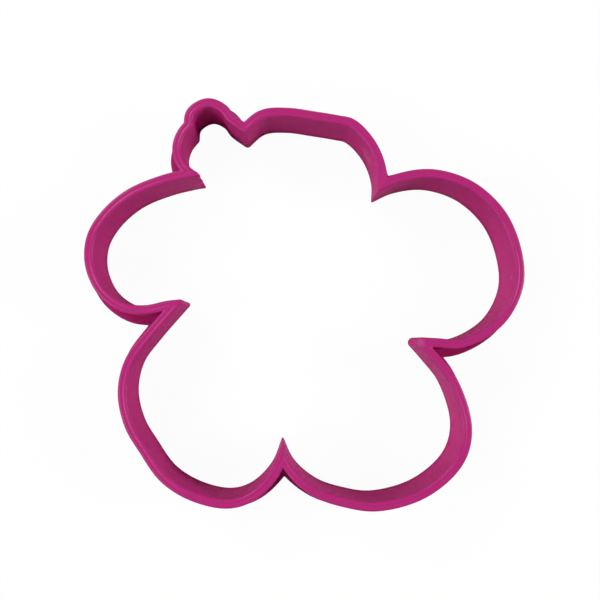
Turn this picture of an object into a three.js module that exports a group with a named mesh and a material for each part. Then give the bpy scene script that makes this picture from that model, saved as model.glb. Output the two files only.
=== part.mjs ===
// Flower fondant cutter: a printed wall that follows a five-petalled flower with a stamen.
// It stands on its grip flange with the cutting edge up. Millimetres, +Z up, +X to the right petal,
// origin on the table below the middle of the flange's box.

import * as THREE from 'three';

// Driving dimensions

const FLOWER_WIDTH = 94.3; // cut shape, from inner face to inner face across the side petals
const CUTTER_HEIGHT = 15; // from the table to the top of the cutting edge
const WALL_THICKNESS = 2.1; // upright wall, measured outwards from the cut shape
const FLANGE_LEDGE = 2.1; // how far the flange stands out past the wall
const FLANGE_THICKNESS = 2; // foot of the cutter, lying on the table
const FLANGE_CHAMFER = 0.35; // broken outer edges of the flange
const EDGE_HEIGHT = 0.8; // rounded lip above the plain wall
const EDGE_DIP = 0.15; // depth of the groove along the top of the lip, between its two ridges
const NOTCH_EASE = 0.3; // length taken off both sides of a notch on the outside of the wall

// Steps of the facets

const OUTLINE_STEP = 1.8; // longest straight step along the outline
const TURN_STEP = 8; // widest turn of a lobe in one step, in degrees
const CORNER_STEPS = 6; // steps round each notch between two lobes
const SHOULDER_STEPS = 3; // steps over each rounded shoulder of the lip
const CURVE_STATIONS = 240; // stations along one lobe when its curve is moved outwards
const CROSSING_SLACK = 1e-6; // share of a step by which two steps may fall short and still cross

const PLASTIC = { color: 0xb8327f, roughness: 0.45, metalness: 0 };

// Cut shape: lobes in order, anticlockwise from the notch right of the middle. Each lobe is a smooth
// curve from its first point, which is a notch, through the others to the first point of the next lobe.
// tipEase is the length taken off both sides of the tip where the lobe starts, to round it on the inner
// face.

const LOBES = [
  { // right petal
    tipEase: 3.0,
    points: [
      [23.4, -7.7], [29.4, -8.1], [35.0, -8.2], [43.0, -3.6], [47.0, 4.0],
      [46.6, 11.6], [43.4, 19.3], [37.1, 25.2], [29.0, 27.8], [21.5, 26.9],
    ],
  },
  { // top petal
    tipEase: 0.4,
    points: [
      [16.4, 24.6], [16.4, 29.5], [14.3, 35.0], [10.3, 39.3], [7.5, 40.0],
      [2.0, 40.9], [-4.0, 41.7], [-9.3, 41.2],
    ],
  },
  { // stamen head
    tipEase: 0.7,
    points: [
      [-13.4, 37.8], [-17.4, 40.7], [-19.1, 42.8], [-21.8, 43.8], [-24.7, 42.1],
    ],
  },
  { // stamen stem
    tipEase: 0.3,
    points: [
      [-25.1, 39.5], [-26.9, 37.1], [-27.6, 34.4], [-26.9, 31.7], [-25.2, 29.8],
    ],
  },
  { // left petal
    tipEase: 1.3,
    points: [
      [-22.9, 28.4], [-31.5, 26.3], [-38.7, 23.2], [-43.9, 18.6], [-46.6, 13.8], [-46.8, 8.4],
      [-44.3, 2.9], [-39.8, -0.3], [-35.5, -0.8], [-30.5, 0.2],
    ],
  },
  { // lower left petal
    tipEase: 1.4,
    points: [
      [-26.3, 0.6], [-34.3, -8.7], [-37.9, -13.8], [-39.2, -20.3], [-37.7, -27.0], [-34.6, -32.2],
      [-30.1, -38.3], [-24.0, -42.0], [-17.0, -43.5], [-12.2, -42.1], [-7.5, -37.5],
    ],
  },
  { // lower right petal
    tipEase: 0.6,
    points: [
      [-4.9, -31.3], [-2.2, -36.8], [3.0, -41.2], [9.0, -43.3], [16.0, -44.2], [26.0, -41.4],
      [33.3, -35.0], [35.1, -28.3], [32.3, -18.5], [28.4, -13.3],
    ],
  },
];

// Plane helpers

const towards = (from, to, share) => from.clone().lerp(to, share);

function pathLengths(path) {
  const lengths = [0];
  for (let i = 1; i < path.length; i += 1) {
    lengths.push(lengths[i - 1] + path[i].distanceTo(path[i - 1]));
  }
  return lengths;
}

// The stretch of a path between two distances along it, as equally spaced points.
function spacedStretch(path, from, to, steps) {
  const lengths = pathLengths(path);
  const points = [];
  let k = 1;
  for (let i = 0; i <= steps; i += 1) {
    const wanted = from + ((to - from) * i) / steps;
    while (k < path.length - 1 && lengths[k] < wanted) k += 1;
    const share = (wanted - lengths[k - 1]) / (lengths[k] - lengths[k - 1]);
    points.push(towards(path[k - 1], path[k], share));
  }
  return points;
}

// Where two straight steps cross: their shares along each step, or null.
function crossing(a, b, c, d) {
  const ab = b.clone().sub(a);
  const cd = d.clone().sub(c);
  const ac = c.clone().sub(a);
  const turn = ab.cross(cd);
  const alongAB = ac.cross(cd) / turn;
  const alongCD = ac.cross(ab) / turn;
  const inside = (share) => share > -CROSSING_SLACK && share < 1 + CROSSING_SLACK;
  return inside(alongAB) && inside(alongCD) ? [alongAB, alongCD] : null;
}

// Two lobes that meet in a notch cross each other once they are moved outwards. The cut is given as the
// distance along each lobe at which they cross, searched from the notch.
function notchCut(before, after) {
  const beforeLengths = pathLengths(before);
  const afterLengths = pathLengths(after);
  for (let reach = 1; reach < CURVE_STATIONS; reach += 1) {
    for (let back = 1; back <= reach; back += 1) {
      for (const [i, j] of [[back, reach], [reach, back]]) {
        const a = before.length - 1 - i;
        const b = j - 1;
        const shares = crossing(before[a], before[a + 1], after[b], after[b + 1]);
        if (shares) {
          return {
            end: THREE.MathUtils.lerp(beforeLengths[a], beforeLengths[a + 1], shares[0]),
            start: THREE.MathUtils.lerp(afterLengths[b], afterLengths[b + 1], shares[1]),
            point: towards(before[a], before[a + 1], shares[0]),
          };
        }
      }
    }
  }
  throw new Error('two lobes of the flower do not meet');
}

// The points between the two ends of an arc that rounds a notch. The arc leaves one side and meets the
// other without a kink: it is a weighted parabola towards the notch's corner.
function notchArc(from, corner, to) {
  const weight = from.distanceTo(to) / (from.distanceTo(corner) + corner.distanceTo(to));
  const points = [];
  for (let i = 1; i < CORNER_STEPS; i += 1) {
    const share = i / CORNER_STEPS;
    const pullFrom = (1 - share) ** 2;
    const pullCorner = 2 * share * (1 - share) * weight;
    const pullTo = share ** 2;
    const point = new THREE.Vector2()
      .addScaledVector(from, pullFrom)
      .addScaledVector(corner, pullCorner)
      .addScaledVector(to, pullTo);
    points.push(point.divideScalar(pullFrom + pullCorner + pullTo));
  }
  return points;
}

// Lobe curves at their real size: the drawn points are scaled to FLOWER_WIDTH

const drawnCurves = LOBES.map(({ points }, i) => {
  const nextNotch = LOBES[(i + 1) % LOBES.length].points[0];
  return new THREE.CatmullRomCurve3([...points, nextNotch].map(([x, y]) => new THREE.Vector3(x, y, 0)));
});
const drawnBox = new THREE.Box3().setFromPoints(
  drawnCurves.flatMap((curve) => curve.getPoints(CURVE_STATIONS)),
);
const drawnScale = FLOWER_WIDTH / (drawnBox.max.x - drawnBox.min.x);

const lobeStations = drawnCurves.map((curve) => {
  const stations = [];
  for (let i = 0; i <= CURVE_STATIONS; i += 1) {
    const point = curve.getPoint(i / CURVE_STATIONS).multiplyScalar(drawnScale);
    const tangent = curve.getTangent(i / CURVE_STATIONS);
    stations.push({
      point: new THREE.Vector2(point.x, point.y),
      outward: new THREE.Vector2(tangent.y, -tangent.x),
    });
  }
  return stations;
});

// A lobe has steps enough for its length and for its turns.
const lobeSteps = lobeStations.map((stations) => {
  let length = 0;
  let turn = 0;
  for (let i = 1; i < stations.length; i += 1) {
    length += stations[i].point.distanceTo(stations[i - 1].point);
    turn += stations[i].outward.angleTo(stations[i - 1].outward);
  }
  return Math.ceil(Math.max(length / OUTLINE_STEP, THREE.MathUtils.radToDeg(turn) / TURN_STEP));
});

// The flower's outline moved outwards by an offset. Every offset gives the same number of points, so
// that outlines at different offsets can be joined point to point.
function outlineAt(offset) {
  const paths = lobeStations.map((stations) => (
    stations.map(({ point, outward }) => point.clone().addScaledVector(outward, offset))
  ));
  const count = paths.length;
  const cuts = paths.map((path, i) => notchCut(paths[(i + count - 1) % count], path));
  const depth = Math.min(offset / WALL_THICKNESS, 1);
  const eases = LOBES.map(({ tipEase }) => THREE.MathUtils.lerp(tipEase, NOTCH_EASE, depth));
  const lobes = paths.map((path, i) => {
    const next = (i + 1) % count;
    return spacedStretch(path, cuts[i].start + eases[i], cuts[next].end - eases[next], lobeSteps[i]);
  });
  return lobes.flatMap((lobe, i) => {
    const next = (i + 1) % count;
    return [...lobe, ...notchArc(lobe.at(-1), cuts[next].point, lobes[next][0])];
  });
}

// A closed section of [offset, height] points carried round the flower. The section runs outwards along
// its underside, up its outer face, inwards over its top and down its inner face.
function sweepRoundFlower(section, origin) {
  const rings = section.map(([offset]) => outlineAt(offset));
  const around = rings[0].length;
  const positions = [];
  section.forEach(([, height], j) => {
    rings[j].forEach((point) => positions.push(point.x - origin.x, point.y - origin.y, height));
  });
  const faces = [];
  for (let j = 0; j < section.length; j += 1) {
    const above = (j + 1) % section.length;
    for (let i = 0; i < around; i += 1) {
      const beside = (i + 1) % around;
      const [a, b] = [j * around + i, j * around + beside];
      const [c, d] = [above * around + beside, above * around + i];
      faces.push(a, b, c, a, c, d);
    }
  }
  const geometry = new THREE.BufferGeometry();
  geometry.setAttribute('position', new THREE.Float32BufferAttribute(positions, 3));
  geometry.setIndex(faces);
  geometry.computeVertexNormals();
  return geometry;
}

// Sections of the three bands

const flangeReach = WALL_THICKNESS + FLANGE_LEDGE;
const edgeFoot = CUTTER_HEIGHT - EDGE_HEIGHT;

const flangeSection = [
  [0, 0],
  [flangeReach - FLANGE_CHAMFER, 0],
  [flangeReach, FLANGE_CHAMFER],
  [flangeReach, FLANGE_THICKNESS - FLANGE_CHAMFER],
  [flangeReach - FLANGE_CHAMFER, FLANGE_THICKNESS],
  [0, FLANGE_THICKNESS],
];

const wallSection = [
  [0, FLANGE_THICKNESS],
  [WALL_THICKNESS, FLANGE_THICKNESS],
  [WALL_THICKNESS, edgeFoot],
  [0, edgeFoot],
];

// A shoulder is a quarter of an ellipse between a face of the wall and the crest of the ridge beside it.
function shoulder(faceOffset, crestOffset) {
  const points = [];
  for (let i = 0; i <= SHOULDER_STEPS; i += 1) {
    const angle = (Math.PI / 2) * (i / SHOULDER_STEPS);
    points.push([
      THREE.MathUtils.lerp(crestOffset, faceOffset, Math.cos(angle)),
      edgeFoot + EDGE_HEIGHT * Math.sin(angle),
    ]);
  }
  return points;
}

// The lip is two printed beads wide. Each bead covers one half of the wall and has its crest in the
// middle of that half.
const wallMiddle = WALL_THICKNESS / 2;
const edgeSection = [
  ...shoulder(WALL_THICKNESS, (wallMiddle + WALL_THICKNESS) / 2),
  [wallMiddle, CUTTER_HEIGHT - EDGE_DIP],
  ...shoulder(0, wallMiddle / 2).reverse(),
];

// Assembly

const footBox = new THREE.Box2().setFromPoints(outlineAt(flangeReach));
const origin = footBox.getCenter(new THREE.Vector2());

const cutter = new THREE.Group();
const bands = { grip_flange: flangeSection, blade_wall: wallSection, cutting_edge: edgeSection };
for (const [name, section] of Object.entries(bands)) {
  const band = new THREE.Mesh(sweepRoundFlower(section, origin), new THREE.MeshStandardMaterial(PLASTIC));
  band.name = name;
  cutter.add(band);
}

export default cutter;
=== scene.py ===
"""Flower fondant cutter, printed in magenta plastic: its looks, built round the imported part.

The cutter is one print. A wall follows the outline of a flower with a stamen, stands on a wider flange
and ends in a rounded cutting edge. Each band is a section carried round the flower, with the beads that
the printer laid down. Metres, +Z up from the table to the cutting edge.
"""

import math

import bpy
import numpy as np
from bpy.props import FloatProperty, FloatVectorProperty, PointerProperty
from mathutils import Matrix, Vector


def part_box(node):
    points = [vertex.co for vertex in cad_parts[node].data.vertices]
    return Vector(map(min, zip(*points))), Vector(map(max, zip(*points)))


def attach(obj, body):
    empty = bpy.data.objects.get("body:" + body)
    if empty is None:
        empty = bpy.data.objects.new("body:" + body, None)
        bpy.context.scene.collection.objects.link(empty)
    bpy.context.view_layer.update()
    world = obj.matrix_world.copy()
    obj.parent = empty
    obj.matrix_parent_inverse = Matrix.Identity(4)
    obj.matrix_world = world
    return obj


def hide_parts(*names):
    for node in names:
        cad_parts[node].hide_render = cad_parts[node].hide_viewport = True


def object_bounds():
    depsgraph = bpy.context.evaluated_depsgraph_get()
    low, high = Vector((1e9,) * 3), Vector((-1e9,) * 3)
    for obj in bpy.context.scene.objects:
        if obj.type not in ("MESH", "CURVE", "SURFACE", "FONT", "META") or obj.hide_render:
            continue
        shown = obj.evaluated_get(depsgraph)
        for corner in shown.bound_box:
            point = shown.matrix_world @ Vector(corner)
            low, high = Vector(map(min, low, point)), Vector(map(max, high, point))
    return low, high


bl_info = {
    "name": "Flower fondant cutter",
    "version": (1, 0, 0),
    "blender": (4, 5, 0),
    "location": "3D View > Sidebar > Cutter",
    "description": "Builds a printed flower cutter and its studio stage round a packed part",
    "category": "Add Mesh",
}

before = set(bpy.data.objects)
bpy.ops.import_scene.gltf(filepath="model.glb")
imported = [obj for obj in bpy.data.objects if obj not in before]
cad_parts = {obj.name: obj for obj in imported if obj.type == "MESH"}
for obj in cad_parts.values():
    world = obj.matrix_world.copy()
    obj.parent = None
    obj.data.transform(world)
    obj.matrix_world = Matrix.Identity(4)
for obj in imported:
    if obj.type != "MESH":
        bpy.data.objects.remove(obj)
CAD_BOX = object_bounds()

MM = 0.001

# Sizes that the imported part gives

FLANGE_LOW, FLANGE_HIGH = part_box("grip_flange")
WALL_LOW, WALL_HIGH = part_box("blade_wall")
EDGE_LOW, EDGE_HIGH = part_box("cutting_edge")
FLANGE_TOP = FLANGE_HIGH.z
EDGE_FOOT = EDGE_LOW.z
CUTTER_TOP = EDGE_HIGH.z
FLANGE_LEDGE = ((FLANGE_HIGH.x - FLANGE_LOW.x) - (WALL_HIGH.x - WALL_LOW.x)) / 2

# Cut shape, in millimetres: the lobes in order, anticlockwise from the notch right of the middle. Each
# has its tip's ease, which is the length taken off both sides of the tip where it starts, and its points,
# from that notch on. It ends at the first point of the next lobe.

LOBES = (
    # right petal
    (3.0, ((23.4, -7.7), (29.4, -8.1), (35.0, -8.2), (43.0, -3.6), (47.0, 4.0),
           (46.6, 11.6), (43.4, 19.3), (37.1, 25.2), (29.0, 27.8), (21.5, 26.9))),
    # top petal
    (0.4, ((16.4, 24.6), (16.4, 29.5), (14.3, 35.0), (10.3, 39.3), (7.5, 40.0),
           (2.0, 40.9), (-4.0, 41.7), (-9.3, 41.2))),
    # stamen head
    (0.7, ((-13.4, 37.8), (-17.4, 40.7), (-19.1, 42.8), (-21.8, 43.8), (-24.7, 42.1))),
    # stamen stem
    (0.3, ((-25.1, 39.5), (-26.9, 37.1), (-27.6, 34.4), (-26.9, 31.7), (-25.2, 29.8))),
    # left petal
    (1.3, ((-22.9, 28.4), (-31.5, 26.3), (-38.7, 23.2), (-43.9, 18.6), (-46.6, 13.8), (-46.8, 8.4),
           (-44.3, 2.9), (-39.8, -0.3), (-35.5, -0.8), (-30.5, 0.2))),
    # lower left petal
    (1.4, ((-26.3, 0.6), (-34.3, -8.7), (-37.9, -13.8), (-39.2, -20.3), (-37.7, -27.0), (-34.6, -32.2),
           (-30.1, -38.3), (-24.0, -42.0), (-17.0, -43.5), (-12.2, -42.1), (-7.5, -37.5))),
    # lower right petal
    (0.6, ((-4.9, -31.3), (-2.2, -36.8), (3.0, -41.2), (9.0, -43.3), (16.0, -44.2), (26.0, -41.4),
           (33.3, -35.0), (35.1, -28.3), (32.3, -18.5), (28.4, -13.3))),
)
SEAM_LOBE = 4  # the layers start and end at the tip where the left petal starts

# Painted highlights and one painted lamp reflection on the print, in millimetres: centre, radius and how
# much paler the middle is

PAINTED_HIGHLIGHTS = (
    ((14.6, 34.4, 7.8), 3.4, 0.07),  # painted lamp reflection inside the top petal
    ((47.1, 5.9, 11.4), 0.6, 0.14),  # painted highlight on a small lump inside the right petal
    ((25.7, -8.9, 15.0), 1.3, 0.09),  # painted highlight at the end of a bead on the tip right of the middle
)

# Fineness of the surfaces

CURVE_STEPS = 240  # steps of a lobe's curve before it is moved outwards
RING_PITCH = 0.1 * MM  # distance between the outlines that sections are carried on
CORNER_STEPS = 8  # steps round each notch
BED_STEPS = 12  # rows over the underside of the flange
CROSSING_SLACK = 1e-6  # share of a step by which two steps may fall short and still cross
SHARP_EDGE = math.radians(62)  # steeper edges than this stay sharp
FIT_SLACK = 0.1 * MM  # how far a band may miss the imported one
GOLDEN_ANGLE = math.pi * (3 - math.sqrt(5))  # turns each bead's phase away from all the others


class CutterShape(bpy.types.PropertyGroup):
    """Sizes of the print."""

    wall: FloatProperty(
        name="Wall", description="Thickness of the upright wall",
        default=2.1 * MM, unit="LENGTH", precision=5)
    dip: FloatProperty(
        name="Dip", description="Depth of the groove along the top of the cutting edge",
        default=0.1 * MM, unit="LENGTH", precision=5)
    shoulder: FloatProperty(
        name="Shoulder", description="Height of the rounding on both sides of the cutting edge",
        default=0.45 * MM, unit="LENGTH", precision=5)
    chamfer: FloatProperty(
        name="Chamfer", description="Broken outer edges of the flange",
        default=0.35 * MM, unit="LENGTH", precision=5)
    notch_ease: FloatProperty(
        name="Notch ease", description="Length taken off both sides of a notch outside the wall",
        default=0.3 * MM, unit="LENGTH", precision=5)
    layer: FloatProperty(
        name="Layer", description="Height of one printed layer",
        default=0.3 * MM, unit="LENGTH", precision=5)
    groove: FloatProperty(
        name="Groove", description="Depth of the line between two beads",
        default=0.03 * MM, unit="LENGTH", precision=6)
    stray: FloatProperty(
        name="Stray", description="How far a bead strays from its path",
        default=0.014 * MM, unit="LENGTH", precision=6)
    seam: FloatProperty(
        name="Seam", description="Height of the small lumps where layers start",
        default=0.22 * MM, unit="LENGTH", precision=6)


class CutterFinish(bpy.types.PropertyGroup):
    """Colours and sheen of the plastic."""

    plastic: FloatVectorProperty(
        name="Plastic", description="Colour of the print in plain light",
        default=(0.455, 0.0195, 0.183), size=3, min=0, max=1, subtype="COLOR")
    # Also the colour of the painted shade near the table.
    deep_tone_and_shade: FloatVectorProperty(
        name="Deep", description="Colour of the darker, redder patches",
        default=(0.355, 0.0128, 0.118), size=3, min=0, max=1, subtype="COLOR")
    # Used only for painted highlights and painted lamp reflections.
    highlight_colour: FloatVectorProperty(
        name="Pale", description="Colour of scuffs and small lumps",
        default=(1.0, 0.6, 0.8), size=3, min=0, max=1, subtype="COLOR")
    sheen: FloatProperty(
        name="Sheen", description="Specular level of the layered faces",
        default=0.03, min=0, max=1, subtype="FACTOR")
    roughness: FloatProperty(
        name="Roughness", description="Roughness of the layered faces",
        default=0.42, min=0, max=1, subtype="FACTOR")
    gloss: FloatProperty(
        name="Gloss", description="Weight of the gloss on the smooth top of the cutting edge",
        default=0.22, min=0, max=1, subtype="FACTOR")
    gloss_roughness: FloatProperty(
        name="Gloss roughness", description="Roughness of that gloss",
        default=0.28, min=0, max=1, subtype="FACTOR")


class StudioStage(bpy.types.PropertyGroup):
    """Floor, light and camera."""

    camera_place: FloatVectorProperty(
        name="Camera", description="Where the camera stands",
        default=(-4.02 * MM, -8.89 * MM, 200 * MM), size=3, subtype="TRANSLATION", unit="LENGTH")
    camera_aim: FloatVectorProperty(
        name="Aim", description="Point on the table in the middle of the picture",
        default=(-0.9 * MM, 1.32 * MM, 0), size=3, subtype="TRANSLATION", unit="LENGTH")
    focal_length: FloatProperty(
        name="Focal length", description="Lens on a sensor 36 mm wide", default=50, unit="CAMERA")
    floor: FloatVectorProperty(
        name="Floor", description="Colour of the paper under the cutter",
        default=(0.97, 0.97, 0.97), size=3, min=0, max=1, subtype="COLOR")
    glow: FloatProperty(
        name="Glow", description="Share of the paper's whiteness that shadows can't darken",
        default=0.96, min=0, max=1, subtype="FACTOR")


# Outline of the flower


def cross(a, b):
    """Cross product of plane vectors."""
    return a[..., 0] * b[..., 1] - a[..., 1] * b[..., 0]


def smooth_curve(points):
    """Points and outward normals along a centripetal spline through the given points.

    Each span is a cubic. Its end slopes are the mean slopes of its neighbours, with every span counted
    by the square root of its length, and the first and last spans are mirrored past their ends.
    """
    first, last = 2 * points[:1] - points[1:2], 2 * points[-1:] - points[-2:-1]
    padded = np.concatenate((first, points, last))
    time = np.sqrt(np.linalg.norm(np.diff(padded, axis=0), axis=1))[:, None]
    before, here, after = time[:-2], time[1:-1], time[2:]
    p0, p1, p2, p3 = padded[:-3], padded[1:-2], padded[2:-1], padded[3:]
    slope1 = here * ((p1 - p0) / before - (p2 - p0) / (before + here) + (p2 - p1) / here)
    slope2 = here * ((p2 - p1) / here - (p3 - p1) / (here + after) + (p3 - p2) / after)
    square = 3 * (p2 - p1) - 2 * slope1 - slope2
    cube = 2 * (p1 - p2) + slope1 + slope2
    along = np.linspace(0, len(p1), CURVE_STEPS + 1)
    span = np.minimum(along.astype(int), len(p1) - 1)
    w = (along - span)[:, None]
    curve = p1[span] + w * (slope1[span] + w * (square[span] + w * cube[span]))
    tangent = slope1[span] + w * (2 * square[span] + 3 * w * cube[span])
    tangent /= np.linalg.norm(tangent, axis=1, keepdims=True)
    return curve, np.column_stack((tangent[:, 1], -tangent[:, 0]))


def first_crossing(before, after):
    """Where two lobes cross nearest to their notch, in steps along each.

    Every step of one is tested against every step of the other with cross products.
    """
    a, ab = before[:-1, None], np.diff(before, axis=0)[:, None]
    c, cd = after[None, :-1], np.diff(after, axis=0)[None]
    with np.errstate(divide="ignore", invalid="ignore"):
        along_before = cross(c - a, cd) / cross(ab, cd)
        along_after = cross(c - a, ab) / cross(ab, cd)
    inside = 0.5 + CROSSING_SLACK
    i, j = np.nonzero((abs(along_before - 0.5) < inside) & (abs(along_after - 0.5) < inside))
    if not len(i):
        raise RuntimeError("two lobes of the flower do not meet")
    nearest = np.argmin(np.maximum(CURVE_STEPS - 1 - i, j))
    i, j = i[nearest], j[nearest]
    return i + along_before[i, j], j + along_after[i, j]


def lengths_along(path):
    """Distance from a path's start to each of its points."""
    return np.concatenate(([0], np.cumsum(np.linalg.norm(np.diff(path, axis=0), axis=1))))


def at_steps(path, steps):
    """Points at fractional steps along a path, on the straight line between its points."""
    whole = np.arange(len(path))
    return np.column_stack((np.interp(steps, whole, path[:, 0]), np.interp(steps, whole, path[:, 1])))


def notch_arc(start, corner, end):
    """The points between the two ends of an arc that rounds a notch.

    The arc is a weighted parabola towards the notch's corner. The corner's weight is the distance between
    the two ends over their way round by the corner.
    """
    legs = np.linalg.norm(start - corner) + np.linalg.norm(end - corner)
    weight = np.linalg.norm(end - start) / legs
    w = np.linspace(0, 1, CORNER_STEPS + 1)[1:-1, None]
    pulls = (1 - w) ** 2, 2 * w * (1 - w) * weight, w ** 2
    return (pulls[0] * start + pulls[1] * corner + pulls[2] * end) / sum(pulls)


class Flower:
    """The flower's outline moved outwards in equal steps, with the same stations on every outline.

    A lobe is moved along its normals and cut where it crosses its neighbours. Each notch is rounded by an
    arc between two points, an ease away from the cut on either side. The ease is the tip's own on the
    inner face and the notch's outside the wall.
    """

    def __init__(self, shape, step, turn):
        """step and turn are the length and the angle of one step along the outline."""
        self.shape = shape
        notches = [points[0] for _, points in LOBES]
        closed = [points + (end,) for (_, points), end in zip(LOBES, notches[1:] + notches[:1])]
        curves = [smooth_curve(np.array(points)) for points in closed]
        drawn = np.concatenate([curve for curve, _ in curves])
        width = WALL_HIGH.x - WALL_LOW.x - 2 * shape.wall
        scale = width / np.ptp(drawn[:, 0])
        self.lobes = [(curve * scale, outward) for curve, outward in curves]
        self.shares = [self.spread(*lobe, step, turn) for lobe in self.lobes]
        self.reach = shape.wall + FLANGE_LEDGE
        count = math.ceil(self.reach / RING_PITCH) + 1
        rings = np.array([self.outline(k * RING_PITCH) for k in range(count)])
        foot = self.outline(self.reach)
        self.rings = rings - (foot.min(0) + foot.max(0)) / 2
        self.path = lengths_along(np.concatenate((self.rings[0], self.rings[0, :1])))
        self.seam_station = sum(len(s) + CORNER_STEPS - 1 for s in self.shares[:SEAM_LOBE])

    @staticmethod
    def spread(curve, outward, step, turn):
        """Places of the stations along a lobe, closer together where it turns."""
        bend = np.arccos(np.clip(np.sum(outward[1:] * outward[:-1], axis=1), -1, 1))
        need = np.concatenate(([0], np.cumsum(np.diff(lengths_along(curve)) / step + bend / turn)))
        stations = math.ceil(need[-1])
        return np.interp(np.linspace(0, need[-1], stations + 1), need, np.linspace(0, 1, len(need)))

    def outline(self, offset):
        """The flower's outline moved outwards by an offset."""
        paths = [curve + offset * outward for curve, outward in self.lobes]
        cuts = [first_crossing(paths[i - 1], path) for i, path in enumerate(paths)]
        depth = min(offset / self.shape.wall, 1)
        eases = [(1 - depth) * tip * MM + depth * self.shape.notch_ease for tip, _ in LOBES]
        whole = np.arange(CURVE_STEPS + 1)
        kept = []
        for i, path in enumerate(paths):
            after = (i + 1) % len(paths)
            lengths = lengths_along(path)
            start = np.interp(cuts[i][1], whole, lengths) + eases[i]
            end = np.interp(cuts[after][0], whole, lengths) - eases[after]
            low, high = np.interp((start, end), lengths, whole)
            kept.append(at_steps(path, low + (high - low) * self.shares[i]))
        pieces = []
        for i, lobe in enumerate(kept):
            after = (i + 1) % len(kept)
            corner = at_steps(paths[i], cuts[after][0])
            pieces += [lobe, notch_arc(lobe[-1], corner, kept[after][0])]
        return np.concatenate(pieces)

    def carry(self, offset, height):
        """Places of a section carried round the flower, on a grid of row and station.

        A point lies on the straight line between the outlines just inside and just outside its offset.
        """
        place = offset / RING_PITCH
        ring = np.clip(place.astype(int), 0, len(self.rings) - 2)
        station = np.arange(self.rings.shape[1])
        inner, outer = self.rings[ring, station], self.rings[ring + 1, station]
        return np.dstack((inner + (place - ring)[..., None] * (outer - inner), height))


# Sections


class Section:
    """A closed section as rows of offset and height, each with its normal and the bead that it lies on.

    The rows run outwards along the underside, up the outside, inwards over the top and down the inside.
    """

    def __init__(self):
        self.place = []
        self.normal = []
        self.bead = []
        self.lumpy = []

    def run(self, corners, bead, rows, groove, lumpy=False):
        """Adds a stretch of beads along a line of corners.

        The line is cut into beads of equal width, near the wanted one. A bead's face is a parabola that
        falls by the groove's depth at both of its sides, below the line of corners.
        """
        corners = np.array(corners)
        lengths = lengths_along(corners)
        beads = max(1, round(lengths[-1] / bead))
        row = np.arange(beads * rows + 1)
        along = np.interp(row / rows / beads * lengths[-1], lengths, np.arange(len(corners)))
        place = at_steps(corners, along)
        slope = np.gradient(place, axis=0)
        normal = np.column_stack((slope[:, 1], -slope[:, 0])) / np.linalg.norm(slope, axis=1)[:, None]
        fall = groove * (2 * (row / rows % 1) - 1) ** 2
        done = sum(len(rows_before) for rows_before in self.bead)
        self.place.append(place - fall[:, None] * normal)
        self.normal.append(normal)
        self.bead.append(done + row // rows)
        self.lumpy.append(np.full(len(row), float(lumpy)))

    def surface(self, flower):
        """The section carried round the flower, and its own length at each row.

        Two waves of whole turns round the flower draw every bead in a little, each bead with its own
        phase, and a bell-shaped lump stands where a layer starts on the inner face.
        """
        shape = flower.shape
        place, normal = np.concatenate(self.place), np.concatenate(self.normal)
        phase = np.concatenate(self.bead)[:, None] * GOLDEN_ANGLE
        distance = flower.path[:-1]
        turn = 2 * math.pi * distance / flower.path[-1]
        waves = (np.sin(13 * turn + phase) + np.sin(34 * turn + 2.7 * phase)) / 2
        move = shape.stray * (waves - 1)
        start = distance[flower.seam_station] + 0.3 * MM * np.sin(5 * phase)
        lump = np.exp(-((distance - start) / (0.5 * MM)) ** 2) * (0.65 + 0.35 * np.sin(3 * phase))
        move = move + shape.seam * np.concatenate(self.lumpy)[:, None] * lump
        offset = place[:, :1] + move * normal[:, :1]
        height = place[:, 1:] + move * normal[:, 1:]
        return flower.carry(offset, height), lengths_along(place)


def bead_top(face, crest, groove, shoulder):
    """Half of a lip of two beads, from the wall's face to the groove, as offset and height.

    The face goes on up to the shoulder, a quarter of an ellipse of that height. From its crest half a
    cosine wave falls to the groove.
    """
    angle = np.linspace(0, math.pi / 2, 24)
    rise = np.column_stack((crest[0] + (face[0] - crest[0]) * np.cos(angle),
                            crest[1] - shoulder * (1 - np.sin(angle))))
    fall = np.column_stack((crest[0] + (groove[0] - crest[0]) * 2 * angle / math.pi,
                            groove[1] + (crest[1] - groove[1]) * np.cos(angle) ** 2))
    return np.concatenate(([face], rise, fall[1:]))


# Finish


class Wire:
    """A value in a shader, which takes part in Python sums."""

    def __init__(self, shader, socket):
        self.shader = shader
        self.socket = socket

    def math(self, operation, a, b=0.0, clamp=False):
        """A Math node on two values."""
        settings = {"operation": operation, "use_clamp": clamp}
        return self.shader.node("ShaderNodeMath", settings, {0: a, 1: b})

    def __add__(self, other):
        return self.math("ADD", self, other)

    def __sub__(self, other):
        return self.math("SUBTRACT", self, other)

    def __mul__(self, other):
        return self.math("MULTIPLY", self, other)

    def __pow__(self, other):
        return self.math("POWER", self, other)

    def __rsub__(self, other):
        return self.math("SUBTRACT", other, self)

    __radd__ = __add__
    __rmul__ = __mul__

    def within(self):
        """The value kept between 0 and 1."""
        return self.math("ADD", self, 0.0, clamp=True)


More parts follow.
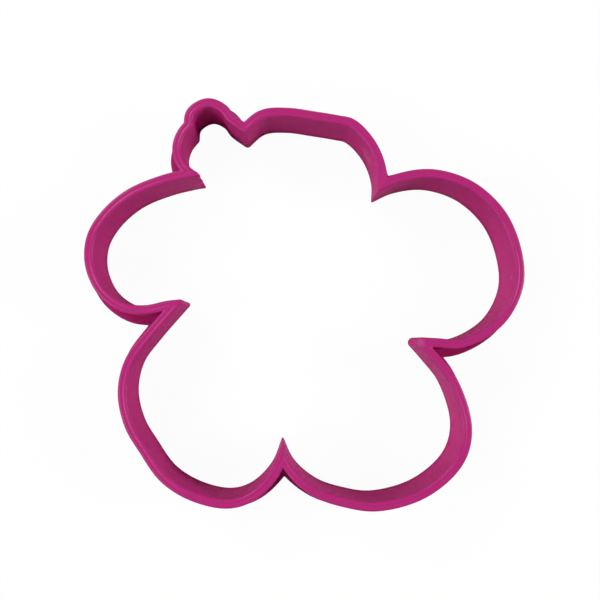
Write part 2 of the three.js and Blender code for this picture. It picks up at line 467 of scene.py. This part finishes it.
class Shader:
    """A material's node tree, written as expressions."""

    def __init__(self, tree):
        self.tree = tree
        tree.nodes.clear()

    def node(self, kind, settings=None, inputs=None, output=0):
        """Adds a node, sets its settings and then its sockets, and gives one of its outputs."""
        node = self.tree.nodes.new(kind)
        for name, value in (settings or {}).items():
            setattr(node, name, value)
        for name, value in (inputs or {}).items():
            if isinstance(value, Wire):
                self.tree.links.new(value.socket, node.inputs[name])
            else:
                node.inputs[name].default_value = value
        return Wire(self, node.outputs[output]) if node.outputs else None

    def noise(self, place, scale, detail=2.0, roughness=0.5):
        """Smooth noise from 0 to 1, in three dimensions."""
        inputs = {"Vector": place, "Scale": scale, "Detail": detail, "Roughness": roughness}
        return self.node("ShaderNodeTexNoise", {}, inputs)

    def stretched(self, place, scale):
        """A place multiplied by its own scale along each axis."""
        return self.node("ShaderNodeVectorMath", {"operation": "MULTIPLY"}, {0: place, 1: scale})

    def spot(self, place, centre, radius):
        """1 at a centre, falling evenly to 0 at a radius."""
        inputs = {0: place, 1: centre}
        distance = self.node("ShaderNodeVectorMath", {"operation": "DISTANCE"}, inputs, output="Value")
        return (1 - distance * (1 / radius)).within()

    def tint(self, share, low, high):
        """A colour between two others."""
        settings = {"data_type": "RGBA", "blend_type": "MIX"}
        inputs = {"Factor": share, 6: low, 7: high}
        return self.node("ShaderNodeMix", settings, inputs, output=2)


def printed_plastic(finish):
    """Satin magenta plastic, with tone and sheen that vary from bead to bead and along each bead.

    It is darker near the table, painted shade where the flange and the foot of the wall lie in shade;
    glossy where the top of the cutting edge was smoothed; and paler at three listed spots, painted
    highlights and one painted lamp reflection. Upright paler streaks, painted lamp reflections on the
    layered faces, are faint all over and strong in the first spot.
    """
    material = bpy.data.materials.new("magenta_print")
    material.use_nodes = True
    shader = Shader(material.node_tree)
    path = shader.node("ShaderNodeUVMap", {"uv_map": "bead_path"})
    place = shader.node("ShaderNodeTexCoord", output="Object")
    height = shader.node("ShaderNodeSeparateXYZ", {}, {0: place}, output="Z")
    streak = shader.noise(shader.stretched(path, (70, 3600, 1)), 1.0, detail=3)
    patch = shader.noise(place, 75, detail=2)
    mottle = shader.noise(place, 420, detail=2)
    upright = shader.noise(shader.stretched(place, (650, 650, 25)), 1.0, detail=2)
    grain = shader.noise(place, 9000, detail=2)
    # Painted shade: the print darkens towards the table, where the flange and the foot of the wall lie in
    # shade.
    foot = (1 - height * (1 / (2.6 * MM))).within()
    crown = ((height - (CUTTER_TOP - 0.42 * MM)) * (1 / (0.2 * MM))).within()
    tone = 0.25 * streak + 0.45 * (patch - 0.35) + 0.35 * (mottle - 0.5)
    tone_and_foot_shade = (tone + 0.85 * foot ** 0.5).within()
    plain, deep_tone_and_shade, highlight_colour = (*finish.plastic, 1), (*finish.deep_tone_and_shade, 1), (*finish.highlight_colour, 1)
    # Painted highlights: paler spots at the listed places, and paler upright streaks that stand for the
    # lamps' reflections on the layered faces.
    lamp_reflection_spot, lump_highlight, bead_end_highlight = [
        share * shader.spot(place, [part * MM for part in centre], radius * MM)
        for centre, radius, share in PAINTED_HIGHLIGHTS
    ]
    reflection_streaks = (2.4 * upright - 0.4).within()
    highlight_share = (0.004 * reflection_streaks + lamp_reflection_spot * (0.3 + reflection_streaks) + lump_highlight + bead_end_highlight).within()
    roughness = finish.roughness - 0.09 + 0.12 * streak + 0.06 * patch
    bump = shader.node(
        "ShaderNodeBump", {}, {"Strength": 0.25, "Distance": 0.02 * MM, "Height": grain})
    surface = shader.node("ShaderNodeBsdfPrincipled", {}, {
        "Base Color": shader.tint(highlight_share, shader.tint(tone_and_foot_shade, plain, deep_tone_and_shade), highlight_colour),
        "Roughness": roughness,
        "Specular IOR Level": finish.sheen,
        "Coat Weight": finish.gloss * crown * (0.5 + patch),
        "Coat Roughness": finish.gloss_roughness,
        "Normal": bump,
    })
    shader.node("ShaderNodeOutputMaterial", {}, {"Surface": surface})
    return material


def add_band(context, node, section, flower):
    """Makes a band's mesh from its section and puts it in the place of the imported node.

    The grid of row and station closes on itself both ways. Its texture coordinates are the distance
    along the bead and the distance across the beads.
    """
    grid, across = section.surface(flower)
    low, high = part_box(node)
    miss = max(abs(grid.min((0, 1)) - low).max(), abs(grid.max((0, 1)) - high).max())
    if miss > FIT_SLACK:
        raise RuntimeError(f"{node} misses the packed part by {miss / MM:.2f} mm")
    rows, stations = grid.shape[:2]
    row, station = np.meshgrid(np.arange(rows), np.arange(stations), indexing="ij")
    above, beside = (row + 1) % rows, (station + 1) % stations
    corner_rows = np.stack((row, row, above, above), axis=-1).ravel()
    corner_stations = np.stack((station, beside, beside, station), axis=-1).ravel()
    wrapped = np.stack((station, station + 1, station + 1, station), axis=-1).ravel()
    mesh = bpy.data.meshes.new(node + "_print")
    mesh.vertices.add(rows * stations)
    mesh.vertices.foreach_set("co", grid.astype(np.float32).ravel())
    mesh.loops.add(len(corner_rows))
    mesh.loops.foreach_set("vertex_index", (corner_rows * stations + corner_stations).astype(np.int32))
    mesh.polygons.add(rows * stations)
    mesh.polygons.foreach_set("loop_start", np.arange(0, len(corner_rows), 4, dtype=np.int32))
    mesh.uv_layers.new(name="bead_path")
    uv = np.column_stack((flower.path[wrapped], across[corner_rows]))
    mesh.uv_layers["bead_path"].data.foreach_set("uv", uv.astype(np.float32).ravel())
    mesh.update(calc_edges=True)
    mesh.validate()
    mesh.shade_smooth()
    mesh.set_sharp_from_angle(angle=SHARP_EDGE)
    band = bpy.data.objects.new(node + "_print", mesh)
    context.scene.collection.objects.link(band)
    plastic = bpy.data.materials.get("magenta_print") or printed_plastic(context.scene.cutter_finish)
    mesh.materials.append(plastic)
    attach(band, "root")
    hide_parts(node)


# Operators


class AddGripFlange(bpy.types.Operator):
    """Add the wide foot that the cutter stands on"""

    bl_idname = "cutter.add_grip_flange"
    bl_label = "Grip flange"

    def execute(self, context):
        shape = context.scene.cutter_shape
        flower = Flower(shape, step=1.6 * MM, turn=math.radians(3))
        reach = flower.reach
        section = Section()
        section.run([(0, 0), (reach - shape.chamfer, 0)], reach / BED_STEPS * 3, 3, shape.groove / 3)
        outside = [
            (reach - shape.chamfer, 0),
            (reach, shape.chamfer),
            (reach, FLANGE_TOP - shape.chamfer),
            (reach - shape.chamfer, FLANGE_TOP),
            (shape.wall, FLANGE_TOP),
        ]
        section.run(outside, shape.layer, 4, shape.groove)
        section.run([(0, FLANGE_TOP), (0, 0)], shape.layer, 4, shape.groove, lumpy=True)
        add_band(context, "grip_flange", section, flower)
        return {"FINISHED"}


class AddBladeWall(bpy.types.Operator):
    """Add the upright wall that follows the flower"""

    bl_idname = "cutter.add_blade_wall"
    bl_label = "Blade wall"

    def execute(self, context):
        shape = context.scene.cutter_shape
        flower = Flower(shape, step=3.2 * MM, turn=math.radians(6))
        section = Section()
        outside = [(shape.wall, FLANGE_TOP), (shape.wall, EDGE_FOOT)]
        inside = [(0, EDGE_FOOT), (0, FLANGE_TOP)]
        section.run(outside, shape.layer, 3, shape.groove)
        section.run(inside, shape.layer, 3, shape.groove, lumpy=True)
        add_band(context, "blade_wall", section, flower)
        return {"FINISHED"}


class AddCuttingEdge(bpy.types.Operator):
    """Add the rounded lip that goes through the paste first"""

    bl_idname = "cutter.add_cutting_edge"
    bl_label = "Cutting edge"

    def execute(self, context):
        shape = context.scene.cutter_shape
        flower = Flower(shape, step=1.1 * MM, turn=math.radians(2))
        half = shape.wall / 2
        groove = (half, CUTTER_TOP - shape.dip)
        outer_crest, inner_crest = (1.4 * half, CUTTER_TOP), (0.6 * half, CUTTER_TOP)
        section = Section()
        outer = bead_top((shape.wall, EDGE_FOOT), outer_crest, groove, shape.shoulder)
        inner = bead_top((0, EDGE_FOOT), inner_crest, groove, shape.shoulder)[::-1]
        section.run(outer, shape.wall, 30, 0)
        section.run(inner, shape.wall, 30, 0)
        add_band(context, "cutting_edge", section, flower)
        return {"FINISHED"}


class SetStage(bpy.types.Operator):
    """Set the paper floor, the soft lamps and the camera"""

    bl_idname = "cutter.set_stage"
    bl_label = "Studio stage"

    def execute(self, context):
        stage = context.scene.studio_stage
        context.scene.view_settings.view_transform = "Standard"
        self.add_floor(context, stage)
        self.whiten_world(context)
        self.add_lamps(context)
        self.add_camera(context, stage)
        return {"FINISHED"}

    @staticmethod
    def rays(shader, kind):
        """1 for rays of one kind, such as those straight from the camera, and 0 for all others."""
        return shader.node("ShaderNodeLightPath", output=f"Is {kind} Ray")

    def add_floor(self, context, stage):
        """A square of white paper. To the camera most of its whiteness is its own, so shadows stay faint."""
        half = 10 * (CAD_BOX[1] - CAD_BOX[0]).length
        mesh = bpy.data.meshes.new("paper_floor")
        corners = [(-half, -half, 0), (half, -half, 0), (half, half, 0), (-half, half, 0)]
        mesh.from_pydata(corners, [], [(0, 1, 2, 3)])
        material = bpy.data.materials.new("white_paper")
        material.use_nodes = True
        shader = Shader(material.node_tree)
        paper = shader.node("ShaderNodeBsdfDiffuse", {}, {"Color": (*stage.floor, 1)})
        glow = shader.node("ShaderNodeEmission", {}, {"Color": (1, 1, 1, 1), "Strength": 1.0})
        share = self.rays(shader, "Camera") * stage.glow
        mix = shader.node("ShaderNodeMixShader", {}, {0: share, 1: paper, 2: glow})
        shader.node("ShaderNodeOutputMaterial", {}, {"Surface": mix})
        mesh.materials.append(material)
        floor = bpy.data.objects.new("paper_floor", mesh)
        context.scene.collection.objects.link(floor)

    def whiten_world(self, context):
        """White surroundings for the camera and for reflections. They add no light of their own."""
        world = bpy.data.worlds.new("studio")
        context.scene.world = world
        world.use_nodes = True
        shader = Shader(world.node_tree)
        seen = (self.rays(shader, "Camera") + self.rays(shader, "Glossy")).within()
        white = shader.node("ShaderNodeBackground", {}, {"Color": (1, 1, 1, 1), "Strength": seen})
        shader.node("ShaderNodeOutputWorld", {}, {"Surface": white})

    def add_lamps(self, context):
        """Square soft boxes that look at the middle of the cutter."""
        lamps = {
            "right_softbox": ((0.74, 0, 0.42), 0.32, 5.0),
            "back_left_softbox": ((-0.46, 0.46, 0.55), 0.32, 3.4),
            "left_softbox": ((-0.63, -0.17, 0.55), 0.32, 3.1),
            "front_left_softbox": ((-0.46, -0.46, 0.55), 0.32, 1.3),
        }
        for name, (place, size, power) in lamps.items():
            data = bpy.data.lights.new(name, "AREA")
            data.size = size
            data.energy = power
            lamp = bpy.data.objects.new(name, data)
            lamp.location = place
            lamp.rotation_euler = (-Vector(place)).to_track_quat("-Z", "Y").to_euler()
            context.scene.collection.objects.link(lamp)

    def add_camera(self, context, stage):
        """A camera almost straight above, with +Y up in the picture."""
        data = bpy.data.cameras.new("camera")
        data.sensor_width = 36
        data.lens = stage.focal_length
        data.clip_start = 0.01
        camera = bpy.data.objects.new("camera", data)
        place = Vector(stage.camera_place)
        forward = (Vector(stage.camera_aim) - place).normalized()
        right = forward.cross(Vector((0, 1, 0))).normalized()
        turned = Matrix((right, right.cross(forward), -forward)).transposed()
        camera.matrix_world = Matrix.Translation(place) @ turned.to_4x4()
        context.scene.collection.objects.link(camera)
        context.scene.camera = camera


class CutterPanel(bpy.types.Panel):
    """Lists the cutter's pieces and the sizes and colours behind them"""

    bl_idname = "VIEW3D_PT_cutter"
    bl_label = "Flower fondant cutter"
    bl_space_type = "VIEW_3D"
    bl_region_type = "UI"
    bl_category = "Cutter"

    def draw(self, context):
        for operator in OPERATORS:
            self.layout.operator(operator.bl_idname)
        for group in (context.scene.cutter_shape, context.scene.cutter_finish, context.scene.studio_stage):
            box = self.layout.box()
            for name in group.__annotations__:
                box.prop(group, name)


GROUPS = {"cutter_shape": CutterShape, "cutter_finish": CutterFinish, "studio_stage": StudioStage}
OPERATORS = (AddGripFlange, AddBladeWall, AddCuttingEdge, SetStage)
CLASSES = (*GROUPS.values(), *OPERATORS, CutterPanel)


def register():
    for cls in CLASSES:
        bpy.utils.register_class(cls)
    for name, group in GROUPS.items():
        setattr(bpy.types.Scene, name, PointerProperty(type=group))


def unregister():
    for name in GROUPS:
        delattr(bpy.types.Scene, name)
    for cls in reversed(CLASSES):
        bpy.utils.unregister_class(cls)


def main():
    register()
    bpy.ops.cutter.add_grip_flange()
    bpy.ops.cutter.add_blade_wall()
    bpy.ops.cutter.add_cutting_edge()
    bpy.ops.cutter.set_stage()


if __name__ == "__main__":
    main()
